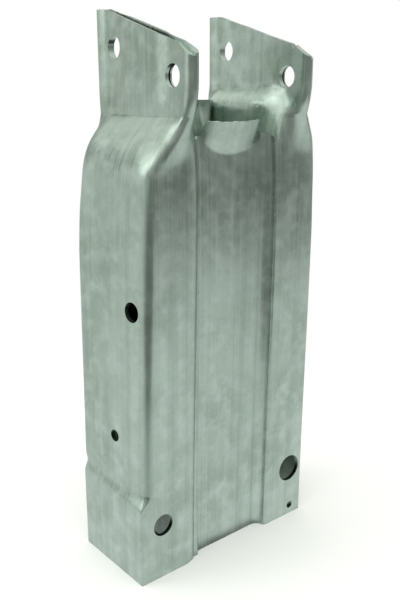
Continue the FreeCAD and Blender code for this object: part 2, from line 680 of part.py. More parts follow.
def buildHoles():
    """The holes in the front, in the left side and through both lugs.

    A cutter for one wall starts a wall's thickness outside it and ends as much inside it.
    """
    wallsPassed = 3
    outsideFront, outsideLeft = length(bodyDepth=-0.5, wall=-1), length(bodyWidth=-0.5, wall=-1)
    frontDepth, leftDepth = length(wall=wallsPassed), length(wall=wallsPassed, frontLean=1)
    footHeight, leftEdge = length(footHoleHeight=1), length(bodyWidth=-0.5)
    leftHole = length(bodyWidth=-0.5, leftFootHolePlace=1), outsideFront, footHeight
    rightHole = length(bodyWidth=0.5, rightFootHolePlace=-1), outsideFront, footHeight
    pin = length(bodyWidth=0.5, pinHolePlace=-1), outsideFront, length(pinHoleHeight=1)
    upper = outsideLeft, length(bodyDepth=-0.5, sideHolePlace=1), length(sideHoleHeight=1)
    lower = outsideLeft, length(bodyDepth=-0.5, smallSideHolePlace=1), length(smallSideHoleHeight=1)
    frontLug = (leftEdge, length(bodyDepth=-0.5, frontEarHolePlace=1),
                length(totalHeight=1, frontEarHoleDrop=-1))
    backLug = (leftEdge, length(bodyDepth=0.5, backEarHolePlace=-1),
               length(totalHeight=1, backEarHoleDrop=-1))
    return [
        addHole("LeftFootHole", "leftFootHole", leftHole, "y", frontDepth),
        addHole("RightFootHole", "rightFootHole", rightHole, "y", frontDepth),
        addHole("PinHole", "pinHole", pin, "y", frontDepth),
        addHole("SideHole", "sideHole", upper, "x", leftDepth),
        addHole("SmallSideHole", "smallSideHole", lower, "x", leftDepth),
        addHole("FrontLugHole", "earHole", frontLug, "x", length(bodyWidth=1)),
        addHole("BackLugHole", "earHole", backLug, "x", length(bodyWidth=1)),
    ]


def gather(kind, name, members):
    group = document.addObject(kind, name)
    group.Shapes = members
    return group


metal = [buildLeftColumn(), buildColumn()]
space = buildChamberSpaces()
for side in ("left", "right"):
    skins, hollows = buildShoulders(side)
    metal += skins + [buildLug(side)]
    space += hollows
space += buildTopCuts() + buildHoles()
document.recompute()

allMetal = gather("Part::MultiFuse", "PressedProfile", metal)
allSpace = gather("Part::MultiFuse", "CutAway", space)
bracket = document.addObject("Part::Cut", "Bracket")
bracket.Base = allMetal
bracket.Tool = allSpace
bracket.Label = "bracket_profile"
document.recompute()

faults = [item.Name for item in document.Objects if {"Invalid", "Error"} & set(item.State)]
if faults:
    raise RuntimeError(f"these objects failed: {faults}")
shape = bracket.Shape
if shape.isNull() or not shape.isValid() or len(shape.Solids) != 1:
    raise RuntimeError(f"the bracket is not one sound solid: {len(shape.Solids)} solids")
shape.exportStep(f"parts/{bracket.Label}.step")
box = shape.optimalBoundingBox()
print(f"{bracket.Label}: {shape.Volume:.0f} mm3, {len(shape.Faces)} faces,",
      f"{box.XLength:.1f} x {box.YLength:.1f} x {box.ZLength:.1f} mm")
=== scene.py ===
import bpy
import bmesh
import math
from mathutils import Euler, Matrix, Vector


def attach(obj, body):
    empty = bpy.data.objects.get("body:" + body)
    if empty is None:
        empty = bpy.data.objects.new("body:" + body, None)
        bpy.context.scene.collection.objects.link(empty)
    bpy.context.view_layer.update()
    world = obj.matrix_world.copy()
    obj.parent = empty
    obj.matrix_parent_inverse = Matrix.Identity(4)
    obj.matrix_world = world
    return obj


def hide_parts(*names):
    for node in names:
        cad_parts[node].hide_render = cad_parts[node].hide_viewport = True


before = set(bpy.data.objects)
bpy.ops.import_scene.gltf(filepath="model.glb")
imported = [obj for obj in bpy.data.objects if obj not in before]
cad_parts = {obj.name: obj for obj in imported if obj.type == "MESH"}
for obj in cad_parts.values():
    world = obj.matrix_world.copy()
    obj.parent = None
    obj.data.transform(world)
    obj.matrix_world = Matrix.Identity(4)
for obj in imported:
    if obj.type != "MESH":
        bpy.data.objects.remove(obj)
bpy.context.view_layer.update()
print("frame loaded")

# The bracket is one length of hollow aluminium profile with three chambers. The outer two are
# pressed flat at the top into lugs, and the middle one is cut back and torn open there.
# Lengths are millimetres, x and y from the middle of the foot, and become metres in newPiece.

scaleToMetres = 0.001


def blend(start, end, share):
    return start + (end - start) * share


def clamp(value, low=0.0, high=1.0):
    return max(low, min(high, value))


def smooth(value):
    value = clamp(value)
    return value * value * (3 - 2 * value)


def curveThrough(places, values):
    # natural cubic curve through a few chosen values
    count = len(places)
    steps = [places[k + 1] - places[k] for k in range(count - 1)]
    slopes = [(values[k + 1] - values[k]) / steps[k] for k in range(count - 1)]
    lower, diagonal, upper, right = [0.0] * count, [1.0] * count, [0.0] * count, [0.0] * count
    for k in range(1, count - 1):
        lower[k], upper[k] = steps[k - 1], steps[k]
        diagonal[k] = 2 * (steps[k - 1] + steps[k])
        right[k] = 6 * (slopes[k] - slopes[k - 1])
    for k in range(1, count):
        ratio = lower[k] / diagonal[k - 1]
        diagonal[k] -= ratio * upper[k - 1]
        right[k] -= ratio * right[k - 1]
    bends = [0.0] * count
    for k in range(count - 1, -1, -1):
        following = bends[k + 1] if k + 1 < count else 0.0
        bends[k] = (right[k] - upper[k] * following) / diagonal[k]

    def valueAt(place):
        place = clamp(place, places[0], places[-1])
        k = max(i for i in range(count - 1) if places[i] <= place)
        near, far = place - places[k], places[k + 1] - place
        return (bends[k] * far ** 3 + bends[k + 1] * near ** 3) / (6 * steps[k]) \
            + (values[k] / steps[k] - bends[k] * steps[k] / 6) * far \
            + (values[k + 1] / steps[k] - bends[k + 1] * steps[k] / 6) * near
    return valueAt


def stepThrough(places, values):
    # eases from each chosen value to the next, and never past them
    def valueAt(place):
        place = clamp(place, places[0], places[-1])
        k = max(i for i in range(len(places) - 1) if places[i] <= place)
        return blend(values[k], values[k + 1], smooth((place - places[k]) / (places[k + 1] - places[k])))
    return valueAt


def newPiece(name, points, faces):
    mesh = bpy.data.meshes.new(name)
    mesh.from_pydata([tuple(c * scaleToMetres for c in p) for p in points], [], faces)
    builder = bmesh.new()
    builder.from_mesh(mesh)
    bmesh.ops.recalc_face_normals(builder, faces=builder.faces)
    builder.to_mesh(mesh)
    builder.free()
    piece = bpy.data.objects.new(name, mesh)
    bpy.context.scene.collection.objects.link(piece)
    return piece


def stackRings(name, rings):
    # a closed tube from rings of points, one above the other, with a lid at each end
    count = len(rings[0])
    points = [point for ring in rings for point in ring]
    faces = []
    for level in range(len(rings) - 1):
        base = level * count
        for k in range(count):
            after = (k + 1) % count
            faces.append((base + k, base + after, base + count + after, base + count + k))
    faces.append(tuple(range(count)))
    faces.append(tuple(range(len(points) - count, len(points))))
    return newPiece(name, points, faces)


# Outer chambers: each is a tube of rings, and every ring is a rounded outline of nine corners

profile = {
    "width": 130.0, "depth": 58.4, "wall": 2.5, "height": 314.0,
    "insetStart": 50.0, "shoulderStart": 186.0, "lugRoot": 259.5, "lugStraight": 274.0,
    "lugThickness": 7.0, "lugReach": 12.3, "lugNose": 3.3,
    "remnantDepth": 2.5, "remnantRound": 2.0, "seatWidth": 4.5, "seatRound": 2.0,
    "bow": 2.6, "bowTop": 205.0, "bowFade": (215.0, 56.0),
    "bowAtEdge": (0.0, 0.7), "bowSpread": 0.6, "bowGrip": 4,
    "below": 4.0, "above": 4.0,          # spare length, cut off at the end
    "sharpAngle": 32.0,
}
chambers = {
    "left": {
        "way": 1, "lugPlace": 26.6, "seat": 14.5,
        "web": ([0.0, 97.0, 195.0, 314.0], [41.3, 42.2, 43.5, 43.5]),
        "lip": (11.6, 5.0),              # long and flat towards the strip, short into the groove
        "footCorner": 0.8,
        "corner": {"front": ([50.0, 215.0, 258.0, 314.0], [3.4, 3.6, 2.0, 2.0]),
                   "back": ([50.0, 200.0, 245.0, 314.0], [3.0, 3.0, 4.0, 2.0])},
        "sideRun": {"front": ([50.0, 215.0, 232.0, 244.0, 255.5, 262.0, 314.0],
                              [3.4, 3.8, 8.0, 15.0, 20.0, 2.0, 2.0]),
                    "back": ([50.0, 200.0, 245.0, 262.0, 314.0], [3.0, 3.0, 7.0, 2.0, 2.0])},
        "inset": {"front": (4.5, 7.6), "back": (0.2, 2.8)},
        "side": {"front": [0.0, 0.015, 0.035, 0.065, 0.13, 0.53, 1.0],
                 "back": [0.0, 0.03, 0.065, 0.11, 0.17, 0.42, 1.0]},
        "nose": ([0.0, 0.02, 0.04, 0.07, 0.13, 0.62, 1.0], [1.0, 1.0, 1.0]),
        "pinch": (1.0, 2.2),             # at its outer face and at the one towards the gap
    },
    "right": {
        "way": -1, "lugPlace": 15.2, "seat": 3.5,
        "web": ([0.0, 314.0], [33.0, 33.0]),
        "lip": (1.3, 1.3),
        "corner": {"front": ([0.0, 190.0, 225.0, 240.0, 264.0, 314.0], [1.5, 1.8, 5.5, 7.0, 2.0, 2.0]),
                   "back": ([0.0, 190.0, 225.0, 240.0, 264.0, 314.0], [1.5, 1.8, 5.5, 7.0, 2.0, 2.0])},
        "sideRun": {"front": ([0.0, 190.0, 225.0, 250.0, 264.0, 314.0], [1.5, 1.8, 6.0, 12.0, 2.0, 2.0]),
                    "back": ([0.0, 190.0, 225.0, 250.0, 264.0, 314.0], [1.5, 1.8, 6.0, 12.0, 2.0, 2.0])},
        "inset": {"front": (0.0, 0.0), "back": (0.0, 0.0)},
        "side": {"front": [0.0, 0.0, 0.0, 0.0, 0.02, 0.27, 1.0],
                 "back": [0.0, 0.0, 0.0, 0.0, 0.02, 0.27, 1.0]},
        "nose": ([0.0, 0.0, 0.0, 0.01, 0.05, 0.33, 0.9], [0.9, 0.98, 1.0]),
        "pinch": (2.4, 0.5),
    },
}
pressing = {
    # evenly spaced over the shoulder, and then over the root of the lug
    "reach": {"front": ([0.0, 0.0, 0.01, 0.03, 0.07, 0.34, 0.66], [0.66, 0.89, 1.0]),
              "back": ([0.0, 0.0, 0.01, 0.03, 0.1, 0.45, 0.93], [0.93, 0.99, 1.0])},
    "web": {"front": ([0.0, 0.0, 0.0, 0.01, 0.03, 0.16, 0.57], [0.57, 0.85, 1.0]),
            "back": ([0.0, 0.0, 0.0, 0.0, 0.0, 0.0, 0.02], [0.02, 0.18, 1.0])},
    "seal": ([0.0, 0.0, 0.0, 0.01, 0.02, 0.12, 0.45], [0.45, 0.8, 1.0]),
}
footBand = {"low": 47.3, "high": 54.8, "ease": 0.35, "rise": 4.6, "level": 6.0, "fade": 30.0,
            "dent": 1.7, "dentHalf": 4.0, "dentInFront": 0.3, "dentWidth": 8.0}


def shareCurve(below, above):
    # how far something has closed at any height, from the open profile (0) to the lug (1)
    low, crease, high = profile["shoulderStart"], profile["lugRoot"], profile["lugStraight"]
    lowSteps, highSteps = len(below) - 1, len(above) - 1
    lowCurve = curveThrough([blend(low, crease, k / lowSteps) for k in range(len(below))], below)
    highCurve = curveThrough([blend(crease, high, k / highSteps) for k in range(len(above))], above)
    return lambda z: clamp(lowCurve(z) if z <= crease else highCurve(z))


def closingCurves(side):
    own, closed = chambers[side], {}
    for end in ("front", "back"):
        closed["side", end] = shareCurve(own["side"][end], [1.0, 1.0, 1.0])
        closed["reach", end] = shareCurve(*pressing["reach"][end])
        closed["web", end] = shareCurve(*pressing["web"][end])
        closed["corner", end] = stepThrough(*own["corner"][end])
        closed["sideRun", end] = stepThrough(*own["sideRun"][end])
    closed["nose"] = shareCurve(*own["nose"])
    closed["seal"] = shareCurve(*pressing["seal"])
    closed["webPlace"] = curveThrough(*own["web"])
    return closed


def aboveBand(z):
    # 0 on the square foot, 1 above the pressed band
    share = clamp((z - footBand["low"]) / (footBand["high"] - footBand["low"]))
    return blend(share, smooth(share), footBand["ease"])


def endCorners(side, end, closed, z):
    # for each corner, how far it is in from the side wall and behind the outer wall, and the length of
    # its rounding before and after it
    own, p = chambers[side], profile
    lug, thick = own["lugPlace"], p["lugThickness"]
    inset = blend(*own["inset"][end], clamp((z - p["insetStart"]) / (p["shoulderStart"] - p["insetStart"])))
    sideRun, corner = closed["sideRun", end](z), closed["corner", end](z)
    if side == "left":
        inset *= aboveBand(z)
        sideRun = blend(own["footCorner"], sideRun, aboveBand(z))
        corner = blend(own["footCorner"], corner, aboveBand(z))
    sideShare, nose = closed["side", end](z), closed["nose"](z)
    reach, webShare = -p["lugReach"] * closed["reach", end](z), closed["web", end](z)
    noseRound = blend(p["seatRound"], p["lugNose"], nose)
    lip = [blend(length, p["remnantRound"], webShare) for length in own["lip"]]
    return [
        (blend(inset, lug, sideShare), blend(0, p["remnantDepth"], sideShare), sideRun, corner),
        (blend(own["seat"], lug, nose), reach, noseRound, noseRound),
        (blend(own["seat"] + p["seatWidth"], lug + thick, nose), reach, noseRound, noseRound),
        (blend(closed["webPlace"](z), lug + thick, webShare), blend(0, p["remnantDepth"], webShare), *lip),
    ]


roundingRoom = 0.94                       # share of a side that two roundings may take together


def roundedRing(corners, cornerSteps, sideSteps):
    # each corner becomes a quarter round, each side a run of points
    middle = math.sqrt(0.5)
    count = len(corners)
    places = [Vector(corner[:2]) for corner in corners]
    before, after = [corner[2] for corner in corners], [corner[3] for corner in corners]
    for k in range(count):
        following = (k + 1) % count
        room = (places[following] - places[k]).length * roundingRoom
        if after[k] + before[following] > room:           # two roundings meet, so both are shortened
            share = room / (after[k] + before[following])
            after[k] *= share
            before[following] *= share
    ends = []
    for k in range(count):
        back, ahead = places[k - 1] - places[k], places[(k + 1) % count] - places[k]
        ends.append((places[k] + back.normalized() * before[k], places[k],
                     places[k] + ahead.normalized() * after[k]))
    ring = []
    for k in range(count):
        a, b, c = ends[k]
        for step in range(cornerSteps[k]):
            t = step / cornerSteps[k]
            wa, wb, wc = (1 - t) ** 2, 2 * middle * t * (1 - t), t * t
            ring.append((a * wa + b * wb + c * wc) / (wa + wb + wc))
        following = ends[(k + 1) % count][0]
        for step in range(sideSteps[k]):
            ring.append(c.lerp(following, step / sideSteps[k]))
    return ring


ringRows = [                             # heights of the rings: first, step and count
    (0.0, 10.0, 4), (38.0, 4.0, 2), (45.0, 1.5, 2),
    (47.0, 0.62, 14), (57.0, 3.0, 2), (64.0, 6.0, 2),    # the pressed band
    (80.0, 8.0, 13), (182.0, 2.0, 20), (222.0, 1.0, 38),
    (259.5, 1.0, 15), (276.0, 3.0, 13),                  # the lug from its root to its top
]


def levels():
    rows = [first + step * k for first, step, count in ringRows for k in range(count)]
    return [-profile["below"]] + rows + [profile["height"] + profile["above"]]


def bowAt(x, z, near):
    # the wide faces bulge a little towards the shoulder, least at the front's left edge
    fadeStart, fadeLength = profile["bowFade"]
    across = clamp(1 - (x / (profile["width"] / 2)) ** 2) ** profile["bowSpread"]
    rise = smooth(z / profile["bowTop"]) * (1 - smooth((z - fadeStart) / fadeLength))
    atEdge = profile["bowAtEdge"][0 if near < 0 and x < 0 else 1]
    return profile["bow"] * rise * blend(atEdge, 1.0, across)


webBend = {"behind": 15.0, "share": 0.8, "round": 8.0}      # the webs bend later behind their front edge
pinching = {"place": 26.0, "width": 9.0, "start": 260.0, "length": 12.0,
            "creaseMark": 0.4, "creaseAbove": 0.5, "creaseHalf": 0.8}
ringSteps = {"corners": [8, 4, 4, 8, 8, 8, 4, 4, 8], "sides": [8, 3, 9, 4, 16, 9, 3, 8, 26]}


def makeChamber(side):
    own, closed, half = chambers[side], closingCurves(side), profile["depth"] / 2
    edge = -own["way"] * profile["width"] / 2
    lugMiddle = own["lugPlace"] + profile["lugThickness"] / 2
    crease = profile["lugRoot"] + pinching["creaseAbove"]
    bandMiddle = (footBand["low"] + footBand["high"]) / 2
    bandRise = math.tan(math.radians(footBand["rise"]))
    rings = []
    for z in levels():
        around = [(x, y - half, *rounds) for x, y, *rounds in endCorners(side, "front", closed, z)]
        behindHalf = [(x, half - y, after, before)
                      for x, y, before, after in reversed(endCorners(side, "back", closed, z))]
        webPlace = blend(around[3][0], behindHalf[0][0], webBend["share"])
        around += [(webPlace, webBend["behind"] - half, webBend["round"], webBend["round"])] + behindHalf
        pinched = smooth((z - pinching["start"]) / pinching["length"])
        mark = pinching["creaseMark"] * math.exp(-((z - crease) / pinching["creaseHalf"]) ** 2)
        ring = []
        for x, y in roundedRing(around, ringSteps["corners"], ringSteps["sides"]):
            height, behind = z, (y + half) / profile["depth"]
            outwards = clamp((x - lugMiddle) / (profile["lugThickness"] / 2), -1, 1)
            if pinched:
                # the two walls of a lug are squeezed closer round its bolt holes
                share = math.exp(-((abs(y) - pinching["place"]) / pinching["width"]) ** 4)
                x -= pinched * share * outwards * own["pinch"][0 if outwards < 0 else 1]
            if outwards < 0 and abs(y) < half:
                x += mark                                 # the press leaves a fine line at the lug's root
            if side == "left":
                # the pressed band climbs towards the back, where it is only a shallow dent
                away = abs(z - bandMiddle)
                tilted = 1 - smooth((away - footBand["level"]) / footBand["fade"])
                height += behind * profile["depth"] * bandRise * tilted
                x += footBand["dent"] * math.exp(-(away / footBand["dentHalf"]) ** 2) \
                    * clamp(footBand["dentInFront"] + behind) * clamp(1 - x / footBand["dentWidth"])
            near = -1 if y < 0 else 1
            y += near * bowAt(edge + own["way"] * x, z, near) * clamp(abs(y) / half) ** profile["bowGrip"]
            ring.append((edge + own["way"] * x, y, height))
        rings.append(ring)
    return stackRings(side + "Chamber", rings)


slit = {"front": 4.0, "widest": 16.0, "half": 1.1, "frontHalf": 0.25, "backHalf": 0.75, "least": 0.2,
        "steps": 22, "start": 253.5, "length": 18.0, "pastFoot": 6.0, "pastTop": 4.0}


def makeChamberSpace(side):
    # the hollow inside, which ends as a narrow slit in the lug
    own, closed, p = chambers[side], closingCurves(side), profile
    edge, half, wall = -own["way"] * p["width"] / 2, p["depth"] / 2, p["wall"]
    middle = own["lugPlace"] + p["lugThickness"] / 2
    steps = slit["steps"]
    rings = []
    for z in levels():
        front, back = endCorners(side, "front", closed, z), endCorners(side, "back", closed, z)
        near = blend(wall, slit["front"], closed["seal"](z))
        height = z - slit["pastFoot"] if z < 0 else z + slit["pastTop"] if z > p["height"] else z
        shut = smooth((z - slit["start"]) / slit["length"])
        ring = []
        for corner, face, order in ((0, -1, range(steps + 1)), (3, 1, range(steps, -1, -1))):
            for k in order:
                behind = k / steps
                y = blend(near, p["depth"] - near, behind)
                if y < slit["widest"]:
                    share = smooth((y - near) / (slit["widest"] - near))
                    opened = blend(slit["frontHalf"], slit["half"], share)
                else:
                    share = smooth((y - slit["widest"]) / (p["depth"] - near - slit["widest"]))
                    opened = blend(slit["half"], slit["backHalf"], share)
                wallFace = blend(front[corner][0], back[corner][0], behind) - face * wall
                x = blend(wallFace, middle + face * opened, shut)
                x = face * max(face * (x - middle), slit["least"]) + middle
                ring.append((edge + own["way"] * x, y - half, height))
        rings.append(ring)
    return stackRings(side + "Space", rings)


# Middle walls: groove floors in front and behind, and the torn tongue at the top of the front one

panel = {
    "groove": 6.2, "fillet": 6.0, "leftFillet": 3.4, "filletGap": 0.3,
    "steepest": 0.995, "leftSteepest": 0.99,
    "frontTop": 249.3, "backTop": 266.2, "lipFall": 0.385,
    "columns": 120, "rows": {-1: 112, 1: 64}, "crowding": 1.8, "slopeProbe": 0.004,
    "rib": 3.0, "ribHeight": 0.22, "ribHalf": 0.9, "ribStart": 0.4, "ribRise": 6,
    "backLean": 6.5, "leanStart": 241.0, "leanEnd": 262.2, "leanEase": 0.5, "leanFade": 9.0,
}
tongue = {
    "left": -16.5, "right": 26.0, "fold": 2.7, "foot": 238.9, "ends": 250.0, "top": 256.8,
    "leftTear": 1.6, "rightTear": 4.6, "flare": 8.2, "flareRound": 0.75, "softness": 0.06,
    "startsBelow": 3.0, "endsAbove": 0.5,
    "waves": 0.14, "waveLengths": (13.3, 5.7), "hollow": 0.9, "tornWall": 1.1, "thinning": 6.0,
}


def hollowCorner(along, radius, steepest):
    # how far a quarter round has risen at a place, a little short of its upright end
    along = clamp(along, 0.0, radius * steepest)
    return radius - math.sqrt(radius ** 2 - along ** 2)


def panelSurface(x, share, near):
    # outer face of a middle wall: groove floor, hollow corners beside it, and the flared tongue in front
    p, half = profile, profile["depth"] / 2
    leftWeb = -p["width"] / 2 + chambers["left"]["web"][1][2]
    rightWeb = p["width"] / 2 - chambers["right"]["web"][1][0]
    fromRight = x - (rightWeb - panel["fillet"] - panel["filletGap"])
    fromLeft = leftWeb + panel["leftFillet"] - x
    depth = panel["groove"] - hollowCorner(fromRight, panel["fillet"], panel["steepest"]) \
        - hollowCorner(fromLeft, panel["leftFillet"], panel["leftSteepest"])
    if near > 0:
        # the back wall leans out towards its upper edge
        z = share * panel["backTop"]
        rise = clamp((z - panel["leanStart"]) / (panel["leanEnd"] - panel["leanStart"]))
        inside = smooth((x - leftWeb) / panel["leanFade"]) * smooth((rightWeb - x) / panel["leanFade"])
        lean = panel["backLean"] * blend(rise, smooth(rise), panel["leanEase"]) * inside
        return z, half - depth + bowAt(x, z, near) + lean
    rib = panel["ribHeight"] * math.exp(-((x - panel["rib"]) / panel["ribHalf"]) ** 2)
    depth -= rib * smooth((share - panel["ribStart"]) * panel["ribRise"])
    top = panel["frontTop"] + (depth - panel["groove"]) * panel["lipFall"]
    wide = tongue["right"] - tongue["fold"] if x > tongue["fold"] else tongue["fold"] - tongue["left"]
    across = (x - tongue["fold"]) / wide
    lifted = math.sqrt(clamp(1 - across * across))
    if lifted > 0:
        wave = sum(math.sin(x / length * 2 * math.pi + length) for length in tongue["waveLengths"])
        torn = smooth((x - tongue["left"]) / tongue["leftTear"]) \
            * smooth((tongue["right"] - x) / tongue["rightTear"])
        tornTop = tongue["top"] - tongue["hollow"] * (1 - across * across) + tongue["waves"] * wave
        top = blend(top, tornTop, torn)
    z = share * top
    y = -half + depth - bowAt(x, z, near)
    foot = blend(tongue["ends"], tongue["foot"], lifted)
    if lifted > 0 and z > foot - tongue["startsBelow"]:
        rise = (z - foot) / (tongue["top"] - foot + tongue["endsAbove"])
        soft = tongue["softness"]                         # a tight but not sharp fold line
        bent = (rise + math.sqrt(rise * rise + soft * soft)) / 2
        y -= tongue["flare"] * bent * lifted ** tongue["flareRound"]
    return z, y


def makePanel(near, name):
    p, wall = profile, profile["wall"]
    left = -p["width"] / 2 + chambers["left"]["lugPlace"] + p["lugThickness"]
    right = p["width"] / 2 - chambers["right"]["lugPlace"] - p["lugThickness"]
    columns, rows = panel["columns"], panel["rows"][near]
    points, faces = [], []
    for layer in (0, 1):
        for row in range(rows + 1):
            share = 1 - (1 - row / rows) ** panel["crowding"]     # rows crowd towards the top edge
            for column in range(columns + 1):
                x = blend(left, right, column / columns)
                z, y = panelSurface(x, share, near)
                if layer:
                    # the inner face follows a wall's thickness behind the outer one
                    ahead = panelSurface(x, share + panel["slopeProbe"], near)
                    behind = panelSurface(x, share - panel["slopeProbe"], near)
                    rise = Vector((ahead[0] - behind[0], ahead[1] - behind[1])).normalized()
                    thick = wall
                    if near < 0 and tongue["left"] < x < tongue["right"]:
                        torn = (z - tongue["top"] + tongue["thinning"]) / tongue["thinning"]
                        thick = blend(wall, tongue["tornWall"], smooth(torn))
                    y -= near * rise.x * thick
                    z += near * rise.y * thick
                points.append((x, y, z if row else -p["below"]))
    across = columns + 1
    back = (rows + 1) * across
    for row in range(rows):
        for column in range(columns):
            a = row * across + column
            faces.append((a, a + 1, a + 1 + across, a + across))
            faces.append((back + a, back + a + across, back + a + across + 1, back + a + 1))
    for column in range(columns):
        top = rows * across + column
        faces.append((column, back + column, back + column + 1, column + 1))
        faces.append((top, top + 1, back + top + 1, back + top))
    for row in range(rows):
        a, b = row * across, row * across + columns
        faces.append((a, a + across, back + a + across, back + a))
        faces.append((b, back + b, back + b + across, b + across))
    return newPiece(name, points, faces)


# Nodes

def toLinear(hexColour):
    channels = [int(hexColour[k:k + 2], 16) / 255 for k in (1, 3, 5)]
    return tuple(c / 12.92 if c <= 0.04045 else ((c + 0.055) / 1.055) ** 2.4 for c in channels) + (1.0,)


def addNode(tree, kind, settings=None, links=None):
    # settings name an option of the node or an input; links name an input and the socket it reads
    node = tree.nodes.new(kind)
    for key, value in (settings or {}).items():
        if isinstance(key, str) and hasattr(node, key):
            setattr(node, key, value)
        else:
            node.inputs[key].default_value = value
    for key, source in (links or {}).items():
        tree.links.new(source, node.inputs[key])
    return node


# Holes: one Geometry Nodes tree makes a row of drills, which are then cut out of the metal

holes = {
    "leftFoot": {"radius": 6.6, "first": (-49.5, -30.0, 33.7), "along": "y", "length": 12.0, "sides": 56},
    "rightFoot": {"radius": 8.75, "first": (53.2, -30.0, 34.0), "along": "y", "length": 12.0, "sides": 64},
    "pin": {"radius": 2.4, "first": (55.1, -30.0, 6.1), "along": "y", "length": 12.0, "sides": 32},
    "upperSide": {"radius": 5.6, "first": (-60.0, -16.7, 159.3), "along": "x", "length": 14.0, "sides": 48},
    "lowerSide": {"radius": 3.5, "first": (-62.0, -1.0, 83.0), "along": "x", "length": 14.0, "sides": 40},
    "lugs": {"radius": 5.9, "first": (6.0, -26.3, 279.3), "last": (6.0, 24.6, 294.2), "along": "x",
             "length": 116.0, "sides": 52},
}


def makeDrillTree():
    tree = bpy.data.node_groups.new("drillRow", "GeometryNodeTree")
    for name, kind in (("First", "Vector"), ("Last", "Vector"), ("Count", "Int"), ("Turn", "Vector"),
                       ("Radius", "Float"), ("Length", "Float"), ("Sides", "Int"), ("Finish", "Material")):
        tree.interface.new_socket(name, in_out="INPUT", socket_type="NodeSocket" + kind)
    tree.interface.new_socket("Drills", in_out="OUTPUT", socket_type="NodeSocketGeometry")
    given = addNode(tree, "NodeGroupInput").outputs
    offset = addNode(tree, "ShaderNodeVectorMath", {"operation": "SUBTRACT"},
                     {0: given["Last"], 1: given["First"]})
    row = addNode(tree, "GeometryNodeMeshLine", {"mode": "OFFSET"},
                  {"Count": given["Count"], "Start Location": given["First"], "Offset": offset.outputs[0]})
    drill = addNode(tree, "GeometryNodeMeshCylinder", {"fill_type": "NGON"},
                    {"Vertices": given["Sides"], "Radius": given["Radius"], "Depth": given["Length"]})
    placed = addNode(tree, "GeometryNodeInstanceOnPoints", {},
                     {"Points": row.outputs["Mesh"], "Instance": drill.outputs["Mesh"],
                      "Rotation": given["Turn"]})
    real = addNode(tree, "GeometryNodeRealizeInstances", {}, {"Geometry": placed.outputs["Instances"]})
    finished = addNode(tree, "GeometryNodeSetMaterial", {},
                       {"Geometry": real.outputs["Geometry"], "Material": given["Finish"]})
    addNode(tree, "NodeGroupOutput", {}, {"Drills": finished.outputs["Geometry"]})
    return tree


def makeDrills(tree, name, given, finish):
    piece = newPiece(name + "Drills", [], [])
    modifier = piece.modifiers.new("drillRow", "NODES")
    modifier.node_group = tree
    inputs = [item for item in tree.interface.items_tree if item.in_out == "INPUT"]
    identifiers = {item.name: item.identifier for item in inputs}
    first = [c * scaleToMetres for c in given["first"]]
    last = [c * scaleToMetres for c in given.get("last", given["first"])]
    quarter = math.pi / 2
    values = {"First": first, "Last": last, "Count": 2 if "last" in given else 1,
              "Turn": [0.0, quarter, 0.0] if given["along"] == "x" else [quarter, 0.0, 0.0],
              "Radius": given["radius"] * scaleToMetres, "Length": given["length"] * scaleToMetres,
              "Sides": given["sides"], "Finish": finish}
    for key, value in values.items():
        modifier[identifiers[key]] = value
    return settle(piece)


def settle(piece):
    # turns what the modifiers make into the piece's own plain mesh
    evaluated = piece.evaluated_get(bpy.context.evaluated_depsgraph_get())
    mesh = bpy.data.meshes.new_from_object(evaluated)
    piece.modifiers.clear()
    old, piece.data = piece.data, mesh
    bpy.data.meshes.remove(old)
    return piece


lugTop = {
    "nose": (-43.5, 288.35), "bevel": (-31.6, 295.8), "slopeEnd": (31.4, 314.0), "past": 14.0, "spare": 12.0,
    "layerDrop": 1.35, "layerDropBack": 0.4, "layerPast": 4.0, "layerRise": 0.1, "layerSpare": 0.5,
    "notchPlace": -30.6, "notchDeep": 3.4, "notchHalf": 2.2, "notchLean": 0.6,
    "notchHigh": 2.0, "notchReach": 6.0,
}
footCut = {"halfDepth": 60.0, "halfWidth": 90.0, "thickness": 20.0}


def prism(name, outline, xLow, xHigh):
    # an outline in y and z drawn out along x
    return stackRings(name, [[(x, y, z) for y, z in outline] for x in (xLow, xHigh)])


def makeTopCutters():
    # the lugs' sawn top, its outer walls a little lower, a small notch, and the level foot
    (noseY, noseZ), (bevelY, bevelZ), (endY, endZ) = lugTop["nose"], lugTop["bevel"], lugTop["slopeEnd"]
    high, past = profile["height"] + lugTop["spare"], endY + lugTop["past"]
    side, thick = profile["width"] / 2, profile["lugThickness"] / 2
    leftMiddle = chambers["left"]["lugPlace"] + thick - side
    rightMiddle = side - chambers["right"]["lugPlace"] - thick
    whole = [(noseY, noseZ), (bevelY, bevelZ), (endY, endZ), (past, endZ), (past, high), (noseY, high)]
    drop, dropBack, layerEnd = lugTop["layerDrop"], lugTop["layerDropBack"], endY + lugTop["layerPast"]
    layer = [(noseY, noseZ - drop), (bevelY, bevelZ - drop), (endY, endZ - dropBack),
             (layerEnd, endZ + lugTop["layerRise"]), (layerEnd, high), (noseY, high)]
    y, half, notchTop = lugTop["notchPlace"], lugTop["notchHalf"], bevelZ + lugTop["notchHigh"]
    notch = [(y, bevelZ - lugTop["notchDeep"]), (y + half, notchTop),
             (y - half * lugTop["notchLean"], notchTop)]
    halfDepth, halfWidth, low = footCut["halfDepth"], footCut["halfWidth"], -footCut["thickness"]
    under = [(-halfDepth, low), (halfDepth, low), (halfDepth, 0), (-halfDepth, 0)]
    return [
        prism("topCutter", whole, -side, side),
        prism("leftLayerCutter", layer, -side, leftMiddle),
        prism("rightLayerCutter", layer, rightMiddle, side + lugTop["layerSpare"]),
        prism("notchCutter", notch, rightMiddle - lugTop["notchReach"], rightMiddle + lugTop["notchReach"]),
        prism("footCutter", under, -halfWidth, halfWidth),
    ]


